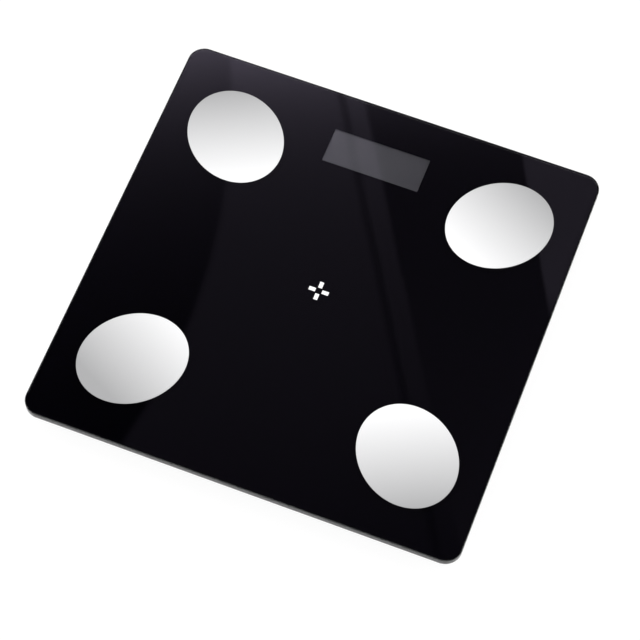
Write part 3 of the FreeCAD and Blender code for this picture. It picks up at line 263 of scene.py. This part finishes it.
def glass_material():
    """Clear float glass with a ground edge. The paint of its back runs over the lower arris."""
    clear = (0.985, 0.990, 0.985)
    greenish = (0.90, 0.905, 0.87)
    black_paint = (0.001, 0.001, 0.002)
    surface = Surface("clear_glass", IOR=1.52)
    low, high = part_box("glass_platform")
    straight = high.x - GLASS_CORNER
    across = (surface.place("X").math("ABSOLUTE") - straight).above(0.0)
    along = (surface.place("Y").math("ABSOLUTE") - straight).above(0.0)
    outward = (across * across + along * along).math("SQRT")
    ground = outward.step(GLASS_CORNER - 0.4 * MM, GLASS_CORNER - 0.1 * MM)
    paint_top = low.z + GLASS_UNDER_EDGE
    painted = ground * surface.place("Z").step(paint_top + 0.1 * MM, paint_top)
    surface.set(Transmission_Weight=painted * -1.0 + 1.0)
    grinding = surface.noise(0.5 * MM, detail=3.0)
    surface.set(Roughness=ground * grinding.spread(0.10, 0.22))
    tint = blend_colours(surface.tree, ground, clear, greenish)
    surface.colours(painted, tint, black_paint)
    waves = surface.noise(30 * MM, detail=1.0)
    return surface.bump(waves, 0.02 * MM, 0.3).material


def print_material():
    """Fired black ink, with slightly uneven cover."""
    surface = Surface("black_print", Specular_IOR_Level=0.0)
    cover = surface.noise(90 * MM, detail=1.0)
    speckle = surface.noise(0.8 * MM, detail=3.0)
    surface.set(Roughness=speckle.spread(0.55, 0.70))
    full = (0.0004, 0.0003, 0.0012)
    thin = (0.0010, 0.0008, 0.0022)
    return surface.colours(cover, full, thin).material


def electrode_material():
    """Satin steel. The soft sweep of studio light over each pad is painted on, by its place."""
    # The two ends of a painted sweep of light: painted shade outwards, painted highlight towards the
    # middle
    painted_shade_satin = (0.375, 0.375, 0.38)
    painted_highlight_satin = (0.885, 0.885, 0.89)
    sweep = 33 * MM
    sweep_turn = (0.45, 0.89)
    heel_left_shade = 0.13
    grain_shade = 0.03
    surface = Surface("electrode_steel", Metallic=1.0)
    x = surface.place("X")
    y = surface.place("Y")
    across = x.math("ABSOLUTE") - PAD_CENTRE[0]
    along = y.math("ABSOLUTE") - PAD_CENTRE[1]
    # Painted highlight and shade: each pad lightens towards the scale's middle
    outward = across * sweep_turn[0] + along * sweep_turn[1]
    tone = outward.spread(1.0, 0.0, -sweep, sweep)
    # Painted shade: the heel left pad is a little darker than the other three
    heel_left = x.step(40 * MM, -40 * MM) * y.step(40 * MM, -40 * MM)
    grain = surface.noise(0.35 * MM, detail=3.0)
    shade = heel_left * heel_left_shade
    tone = (tone - shade + (grain - 0.5) * grain_shade).above(0.0).below(1.0)
    surface.colours(tone, painted_shade_satin, painted_highlight_satin)
    clouds = surface.noise(9 * MM)
    surface.set(Roughness=grain * 0.06 + clouds * 0.05 + 0.33)
    return surface.bump(grain, 0.002 * MM, 0.4).material


def silver_print_material():
    """Silver ink with fine metal flakes."""
    surface = Surface("silver_print", Metallic=0.6)
    flakes = surface.cells(0.12 * MM)
    grey_flake = (0.82, 0.82, 0.83)
    bright_flake = (0.98, 0.98, 0.99)
    surface.colours(flakes, grey_flake, bright_flake)
    return surface.set(Roughness=flakes.spread(0.35, 0.55)).material


def display_material():
    """A switched-off liquid crystal panel, which darkens a little to the right."""
    surface = Surface("display_glass", Roughness=0.0, Specular_IOR_Level=0.5)
    left_grey = (0.114, 0.112, 0.126)
    right_grey = (0.090, 0.088, 0.100)
    reach = WINDOW[0] / 2
    drift = surface.noise(30 * MM, detail=1.0)
    tone = surface.place("X").spread(0.1, 0.9, -reach, reach) + (drift - 0.5) * 0.15
    surface.colours(tone.above(0.0).below(1.0), left_grey, right_grey)
    grid = surface.cells(1.5 * MM)
    return surface.bump(grid, 0.001 * MM, 0.1).material


def plastic_material(name, dark, light, grain=0.35, depth=0.012, roughness=0.5):
    """Moulded plastic with a spark-eroded texture, rubbed smoother in patches."""
    surface = Surface(name, Specular_IOR_Level=0.5)
    texture = surface.noise(grain * MM, detail=4.0)
    rubbed = surface.noise(25 * MM, detail=3.0)
    surface.colours(rubbed * 0.6 + texture * 0.4, dark, light)
    surface.set(Roughness=rubbed.spread(roughness - 0.07, roughness + 0.09, 0.3, 0.7))
    return surface.bump(texture, depth * MM, 0.6).material


def rubber_material():
    """Black rubber that has picked up a little dust."""
    surface = Surface("foot_rubber", Specular_IOR_Level=0.3)
    speckle = surface.noise(0.5 * MM, detail=5.0)
    dust = surface.noise(6 * MM, detail=4.0).step(0.5, 0.75)
    clean = (0.045, 0.045, 0.046)
    dusty = (0.085, 0.084, 0.080)
    surface.colours(dust, clean, dusty)
    surface.set(Roughness=dust.spread(0.68, 0.88))
    return surface.bump(speckle, 0.02 * MM, 0.5).material


def steel_material(name, colour, roughness=0.32, lines=0.2):
    """Plain sheet metal with faint rolling lines."""
    surface = Surface(name, Metallic=1.0)
    rolled = surface.noise(lines * MM, detail=2.0, stretch=(0.05, 1.0, 1.0))
    stain = surface.noise(7 * MM, detail=3.0)
    dull = tuple(part * 0.82 for part in colour)
    surface.colours(stain * 0.6 + rolled * 0.4, dull, colour)
    surface.set(Roughness=rolled * 0.12 + (roughness - 0.06))
    return surface.bump(rolled, 0.003 * MM, 0.4).material


def board_material():
    """Green solder mask over copper tracks."""
    surface = Surface("green_board", Specular_IOR_Level=0.5, Roughness=0.3)
    tracks = surface.cells(2.2 * MM).step(0.42, 0.5)
    bare_green = (0.012, 0.12, 0.05)
    track_green = (0.03, 0.22, 0.09)
    surface.colours(tracks, bare_green, track_green)
    return surface.bump(tracks, 0.03 * MM, 0.5).material


def lead_material(name, colour):
    """Scuffed soft plastic or sealant."""
    surface = Surface(name, Specular_IOR_Level=0.4)
    scuffs = surface.noise(1.5 * MM, detail=3.0)
    worn = tuple(part * 0.85 for part in colour)
    surface.colours(scuffs, worn, colour)
    return surface.set(Roughness=scuffs.spread(0.35, 0.55)).material


def battery_material():
    """A plain printed jacket: a mid grey body with a dark band at each end."""
    surface = Surface("battery_jacket", Metallic=0.55)
    scratches = surface.noise(0.6 * MM, detail=4.0, stretch=(0.15, 1.0, 1.0))
    end = surface.place("X").math("ABSOLUTE").step(12.9 * MM, 13.1 * MM)
    grey_body = (0.34, 0.35, 0.36)
    dark_band = (0.06, 0.065, 0.07)
    surface.colours(end, grey_body, dark_band)
    surface.set(Roughness=scratches.spread(0.22, 0.42))
    return surface.bump(scratches, 0.004 * MM, 0.4).material


def grey(level):
    """Give a neutral colour."""
    return (level, level, level)


MATERIALS = {
    "clear_glass": glass_material(),
    "black_print": print_material(),
    "tape": plastic_material("tape", grey(0.010), grey(0.022), grain=0.6, roughness=0.8),
    "silver_print": silver_print_material(),
    "tray_plastic": plastic_material("tray_plastic", (0.016, 0.016, 0.018), (0.026, 0.026, 0.029)),
    "button_plastic": plastic_material("button_plastic", (0.22, 0.22, 0.23), (0.30, 0.30, 0.31)),
    "electrode_steel": electrode_material(),
    "zinc_steel": steel_material("zinc_steel", (0.62, 0.62, 0.60)),
    "cell_steel": steel_material("cell_steel", (0.55, 0.55, 0.56), roughness=0.42),
    "sealant": lead_material("sealant", (0.80, 0.80, 0.78)),
    "foot_plastic": plastic_material("foot_plastic", (0.018, 0.018, 0.019), (0.030, 0.030, 0.032)),
    "foot_rubber": rubber_material(),
    "battery_jacket": battery_material(),
    "nickel": steel_material("nickel", (0.80, 0.78, 0.74), roughness=0.22),
    "white_lead": lead_material("white_lead", (0.80, 0.80, 0.78)),
    "red_lead": lead_material("red_lead", (0.50, 0.03, 0.02)),
    "cell_lead": lead_material("cell_lead", (0.55, 0.55, 0.54)),
    "green_board": board_material(),
    "chip_plastic": plastic_material("chip_plastic", grey(0.012), grey(0.03), grain=0.15),
    "shield_can": steel_material("shield_can", (0.70, 0.70, 0.68)),
    "capacitor_can": steel_material("capacitor_can", (0.70, 0.70, 0.72)),
    "socket_plastic": plastic_material("socket_plastic", (0.70, 0.69, 0.62), (0.80, 0.79, 0.73)),
    "frame_plastic": plastic_material("frame_plastic", grey(0.68), grey(0.78)),
    "display_glass": display_material(),
    "light_guide": plastic_material("light_guide", grey(0.80), grey(0.88), roughness=0.25),
    "elastomer": plastic_material("elastomer", (0.35, 0.06, 0.12), (0.45, 0.09, 0.16), roughness=0.6),
}


# ---- Outlines and slabs -----------------------------------------------------------------


def rounded_square(side, corner):
    """Give a function that draws a square with round corners, drawn in by an inset."""

    def outline(inset=0.0):
        reach = side / 2 - corner
        radius = corner - inset
        points = []
        for quarter in range(4):
            middle = Matrix.Rotation(math.pi / 2 * quarter, 2) @ Vector((reach, reach))
            for step in range(ROUND_STEPS + 1):
                angle = math.pi / 2 * (quarter + step / ROUND_STEPS)
                across = radius * math.cos(angle)
                along = radius * math.sin(angle)
                points.append((middle.x + across, middle.y + along))
        return points

    return outline


def oval(middle, turn, long, short, steps):
    """Give a function that draws a turned ellipse, drawn in by an inset."""

    def outline(inset=0.0):
        rotation = Matrix.Rotation(turn, 2)
        points = []
        for step in range(steps):
            angle = 2 * math.pi * step / steps
            local = Vector(((long - inset) * math.cos(angle), (short - inset) * math.sin(angle)))
            points.append(tuple(Vector(middle) + rotation @ local))
        return points

    return outline


def rectangle(middle, width, depth):
    """Give a function that draws a plain rectangle, drawn in by an inset."""

    def outline(inset=0.0):
        half_width = width / 2 - inset
        half_depth = depth / 2 - inset
        signs = ((1, 1), (-1, 1), (-1, -1), (1, -1))
        return [(middle[0] + a * half_width, middle[1] + b * half_depth) for a, b in signs]

    return outline


def rounded_profile(low, high, under_edge, edge, steps):
    """Give the inset and height of each ring from the bottom face to the top face."""
    quarter = [math.pi / 2 * step / steps for step in range(steps + 1)]
    profile = [(0.0, low)]
    if under_edge:
        profile = []
        for angle in quarter:
            inset = under_edge * (1 - math.sin(angle))
            profile.append((inset, low + under_edge * (1 - math.cos(angle))))
    if not edge:
        return profile + [(0.0, high)]
    for angle in quarter:
        inset = edge * (1 - math.cos(angle))
        profile.append((inset, high - edge * (1 - math.sin(angle))))
    return profile


def add_wall(mesh, outline, profile):
    """Join an outline's rings up the profile and give the bottom and top loops' edges."""
    rings = []
    for inset, height in profile:
        rings.append([mesh.verts.new((x, y, height)) for x, y in outline(inset)])
    for lower, upper in zip(rings, rings[1:]):
        for index in range(len(lower)):
            after = (index + 1) % len(lower)
            face = mesh.faces.new((lower[index], lower[after], upper[after], upper[index]))
            face.smooth = len(profile) > 2 or len(lower) > 4
    ends = []
    for ring in (rings[0], rings[-1]):
        ends.append([mesh.edges.get((ring[index - 1], ring[index])) for index in range(len(ring))])
    return ends


def add_slab(mesh, outline, low, high, under_edge=0.0, edge=0.0, steps=1, holes=()):
    """Add a closed slab with rounded outer edges and straight-sided holes."""
    bottom, top = add_wall(mesh, outline, rounded_profile(low, high, under_edge, edge, steps))
    for hole in holes:
        hole_bottom, hole_top = add_wall(mesh, hole, [(0.0, low), (0.0, high)])
        bottom += hole_bottom
        top += hole_top
    for edges in (bottom, top):
        bmesh.ops.triangle_fill(mesh, use_beauty=True, use_dissolve=False, edges=edges)


def add_object(name, mesh, material):
    """Turn a bmesh into an object of the scene."""
    data = bpy.data.meshes.new(name)
    mesh.to_mesh(data)
    mesh.free()
    data.materials.append(material)
    thing = bpy.data.objects.new(name, data)
    bpy.context.scene.collection.objects.link(thing)
    return thing


def stand_for(node, name, mesh, slot):
    """Turn a bmesh into a piece that takes a CAD node's place on the platform."""
    bmesh.ops.recalc_face_normals(mesh, faces=mesh.faces)
    piece = add_object(name, mesh, MATERIALS[slot])
    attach(piece, "platform")
    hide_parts(node)


# ---- Pieces -----------------------------------------------------------------------------


def corner_middle(corner):
    """Give the middle of the electrode at a corner."""
    across, along = CORNERS[corner]
    return (across * PAD_CENTRE[0], along * PAD_CENTRE[1])


def stud_outline(corner, radius):
    """Give the round outline of a stud, or of its hole, at a corner."""
    return oval(corner_middle(corner), 0.0, radius, radius, STUD_STEPS)


def stud_holes():
    return [stud_outline(corner, STUD_HOLE) for corner in CORNERS]


def build_glass():
    """Make the glass sheet with its polished upper edge and its four stud holes."""
    low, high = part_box("glass_platform")
    mesh = bmesh.new()
    outline = rounded_square(high.x - low.x, GLASS_CORNER)
    add_slab(mesh, outline, low.z, high.z, GLASS_UNDER_EDGE, GLASS_EDGE, GLASS_EDGE_STEPS, stud_holes())
    stand_for("glass_platform", "glass_top", mesh, "clear_glass")


def build_print():
    """Make the black layer under the glass, with its display window and stud holes."""
    low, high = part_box("back_print")
    panel_low, panel_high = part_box("display_frame")
    window_middle = (0.0, (panel_low.y + panel_high.y) / 2)
    mesh = bmesh.new()
    outline = rounded_square(high.x - low.x, GLASS_CORNER - PRINT_INSET)
    holes = [rectangle(window_middle, *WINDOW)] + stud_holes()
    add_slab(mesh, outline, low.z, high.z + PRINT_OVERLAP, holes=holes)
    stand_for("back_print", "print_layer", mesh, "black_print")


def build_electrode(corner):
    """Make an oval pad that lies on the glass, and the stud under it."""
    low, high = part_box(f"electrode_{corner}")
    glass_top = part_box("glass_platform")[1].z
    middle = corner_middle(corner)
    turn = math.atan2(middle[1], middle[0])
    pad_outline = oval(middle, turn, PAD_LONG, PAD_SHORT, OVAL_STEPS)
    mesh = bmesh.new()
    add_slab(mesh, pad_outline, glass_top, high.z, edge=PAD_EDGE, steps=PAD_EDGE_STEPS)
    add_slab(mesh, stud_outline(corner, STUD_RADIUS), low.z, glass_top)
    stand_for(f"electrode_{corner}", f"electrode_pad_{corner}", mesh, "electrode_steel")


def build_mark():
    """Make four short bars round an open middle."""
    low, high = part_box("centre_mark")
    mesh = bmesh.new()
    middle = (MARK_REACH + MARK_GAP) / 2
    length = MARK_REACH - MARK_GAP
    for sign in (-1, 1):
        add_slab(mesh, rectangle((sign * middle, 0.0), length, MARK_BAR), low.z, high.z)
        add_slab(mesh, rectangle((0.0, sign * middle), MARK_BAR, length), low.z, high.z)
    stand_for("centre_mark", "mark_bars", mesh, "silver_print")


def dress_nodes():
    """Give every carried-over CAD node the material of its slot."""
    slots = {part["node"]: part["material_slot"] for part in frame["record"]["subparts"]}
    for name, node in frame["nodes"].items():
        node.data.materials.clear()
        node.data.materials.append(MATERIALS[slots[name]])


# ---- Studio -----------------------------------------------------------------------------


def floor_material():
    """Pale paper that glows nearly white by itself, so that shadows stay faint."""
    surface = Surface("studio_floor", Roughness=0.9, Specular_IOR_Level=0.1)
    surface.set(Emission_Color=(1.0, 1.0, 1.0), Emission_Strength=FLOOR_GLOW)
    paper = surface.noise(3 * MM, detail=2.0)
    surface.colours(paper, grey(0.12), grey(0.14))
    # See-through from below, so that the underside can be looked at
    tree = surface.tree
    open_side = tree.nodes.new("ShaderNodeBsdfTransparent")
    choice = tree.nodes.new("ShaderNodeMixShader")
    geometry = tree.nodes.new("ShaderNodeNewGeometry")
    tree.links.new(geometry.outputs["Backfacing"], choice.inputs[0])
    tree.links.new(surface.shader.outputs[0], choice.inputs[1])
    tree.links.new(open_side.outputs[0], choice.inputs[2])
    tree.links.new(choice.outputs[0], tree.nodes["Material Output"].inputs["Surface"])
    return surface.material


def build_floor():
    """Make the floor just under the feet."""
    mesh = bmesh.new()
    outline = rectangle((0.0, 0.0), FLOOR_SIDE, FLOOR_SIDE)
    mesh.faces.new([mesh.verts.new((x, y, -FLOOR_DROP)) for x, y in outline()])
    add_object("studio_floor", mesh, floor_material())


def line_distance(x, y, line):
    """Give the signed distance to the right of a line."""
    start, end = line
    along = (Vector(end) - Vector(start)).normalized()
    return (x - start[0]) * -along.y + (y - start[1]) * along.x


def ceiling_glow(x, y, turn, base, rise, glow, pace):
    """Give a level that rises steadily towards the toe side, and quickly near its edge."""
    along = y - x * turn
    steady = (along * rise + base).above(DARKEST_LEVEL)
    return steady + ((along - GLOW_LINE) * pace).math("EXPONENT") * glow


def mix_levels(amount, first, second):
    """Go from the first level to the second as the amount goes from 0 to 1."""
    return first * amount.spread(1.0, 0.0) + second * amount


def mirrored_ceiling(x, y):
    """Give the brightness of the ceiling at each place where the glass mirrors it."""
    # A dark part at the left that ends at a soft curve, then the lighter main part
    left = ceiling_glow(x, y, turn=0.57, base=0.030, rise=0.257, glow=0.114, pace=28.4)
    middle = ceiling_glow(x, y, turn=0.44, base=0.106, rise=0.363, glow=0.192, pace=32.0)
    bow = y - CURVE_ALONG
    past_curve = bow * bow * CURVE_BOW + x - CURVE_ACROSS
    level = mix_levels(past_curve.step(-CURVE_SOFT, CURVE_SOFT), left, middle)
    # A thin dark line, then a light strip with the darkest part to its right
    strip = line_distance(x, y, STRIP_LINE)
    thin_line = strip.step(*THIN_LINE_LEFT) * strip.step(*THIN_LINE_RIGHT)
    level = level * thin_line.spread(1.0, THIN_LINE_LEVEL)
    right = ceiling_glow(x, y, turn=0.38, base=0.055, rise=-0.046, glow=0.114, pace=48.5)
    past_strip = strip.step(STRIP_WIDTH - STRIP_SOFT, STRIP_WIDTH + STRIP_SOFT)
    level = mix_levels(past_strip, level, right)
    # A light patch beyond a slanting line at the far right
    patch = line_distance(x, y, PATCH_LINE).step(*PATCH_EDGE) * y.step(*PATCH_FADE)
    return (level + patch * PATCH_LEVEL).above(0.0).below(1.0)


def build_world():
    """Light the room evenly, but let perfectly sharp reflections see a darker ceiling instead.

    No real room does this. It keeps the glass black while all else is softly lit.
    """
    world = bpy.data.worlds.new("studio")
    bpy.context.scene.world = world
    world.use_nodes = True
    tree = world.node_tree
    direction = tree.nodes.new("ShaderNodeSeparateXYZ")
    coordinates = tree.nodes.new("ShaderNodeTexCoord")
    tree.links.new(coordinates.outputs["Generated"], direction.inputs[0])
    height = Field(tree, direction.outputs["Z"])
    # The place on the glass where the camera, at its own place, sees this direction mirrored
    up = height.above(LOWEST_HEIGHT)
    x = Field(tree, direction.outputs["X"]) / up * CAMERA_PLACE[2] + CAMERA_PLACE[0]
    y = Field(tree, direction.outputs["Y"]) / up * CAMERA_PLACE[2] + CAMERA_PLACE[1]
    near = x.math("ABSOLUTE").above(y.math("ABSOLUTE")).step(MIRROR_FADE, MIRROR_REACH)
    # Away from the ceiling over the scale the room only lightens towards the horizon
    wide = height.step(*HORIZON_RISE) + WIDE_LEVEL
    level = mix_levels(near, wide, mirrored_ceiling(x, y))
    tint = blend_colours(tree, near, WIDE_TINT, MIRROR_TINT)
    mirrored = blend_colours(tree, level, BLACK, tint)
    path = tree.nodes.new("ShaderNodeLightPath")
    sharp = Field(tree, path.outputs["Is Singular Ray"]) * Field(tree, path.outputs["Is Glossy Ray"])
    light = blend_colours(tree, sharp, ROOM_COLOUR, mirrored)
    tree.links.new(light, tree.nodes["Background"].inputs["Color"])


def build_camera():
    """Look down on the toe side from the right of the heels."""
    camera = bpy.data.cameras.new("camera")
    camera.lens = CAMERA_LENS
    camera.sensor_width = CAMERA_SENSOR
    camera.clip_start = 0.05
    holder = bpy.data.objects.new("camera", camera)
    bpy.context.scene.collection.objects.link(holder)
    glass_top = Vector((0.0, 0.0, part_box("glass_platform")[1].z))
    holder.location = glass_top + Vector(CAMERA_PLACE)
    holder.rotation_euler = [math.radians(angle) for angle in CAMERA_TURN]
    bpy.context.scene.camera = holder


def set_output_look():
    scene = bpy.context.scene
    scene.view_settings.view_transform = "Standard"
    scene.view_settings.look = "None"
    scene.cycles.use_denoising = True


build_camera()
build_world()
build_floor()
set_output_look()
dress_nodes()
build_glass()
build_print()
for corner_name in CORNERS:
    build_electrode(corner_name)
build_mark()
